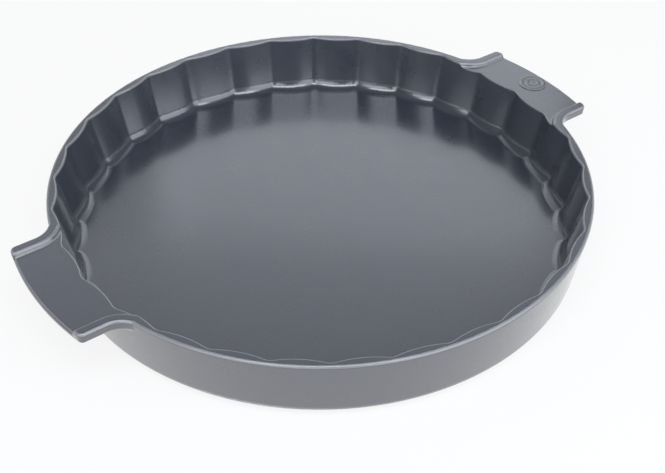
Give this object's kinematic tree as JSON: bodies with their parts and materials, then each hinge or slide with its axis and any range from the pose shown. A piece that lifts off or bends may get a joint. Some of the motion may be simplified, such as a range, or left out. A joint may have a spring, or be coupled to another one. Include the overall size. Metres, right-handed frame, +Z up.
{
  "type": "pie dish",
  "caption": "Round shallow pie dish of glazed stoneware with a smooth outside, a fluted inside wall, a flat floor and two lug handles with sunk plates.",
  "frame": {"origin": "centre of the circle that the foot ring stands on, bottom centre of the bounding box", "axes": "+Z up, +X along the line through the two handles, towards the handle with the medallion"},
  "size_m": [0.3428, 0.2996, 0.0385],
  "materials": {
    "glaze": "satin-gloss slate-grey glaze",
    "bare_stoneware": "unglazed fired stoneware, matt"
  },
  "bodies": {
    "root": {"base_slab": "glaze", "fluted_wall": "glaze", "left_handle": "glaze", "right_handle": "glaze", "foot_ring": "bare_stoneware", "ring_medallion": "glaze"}
  },
  "joints": []
}
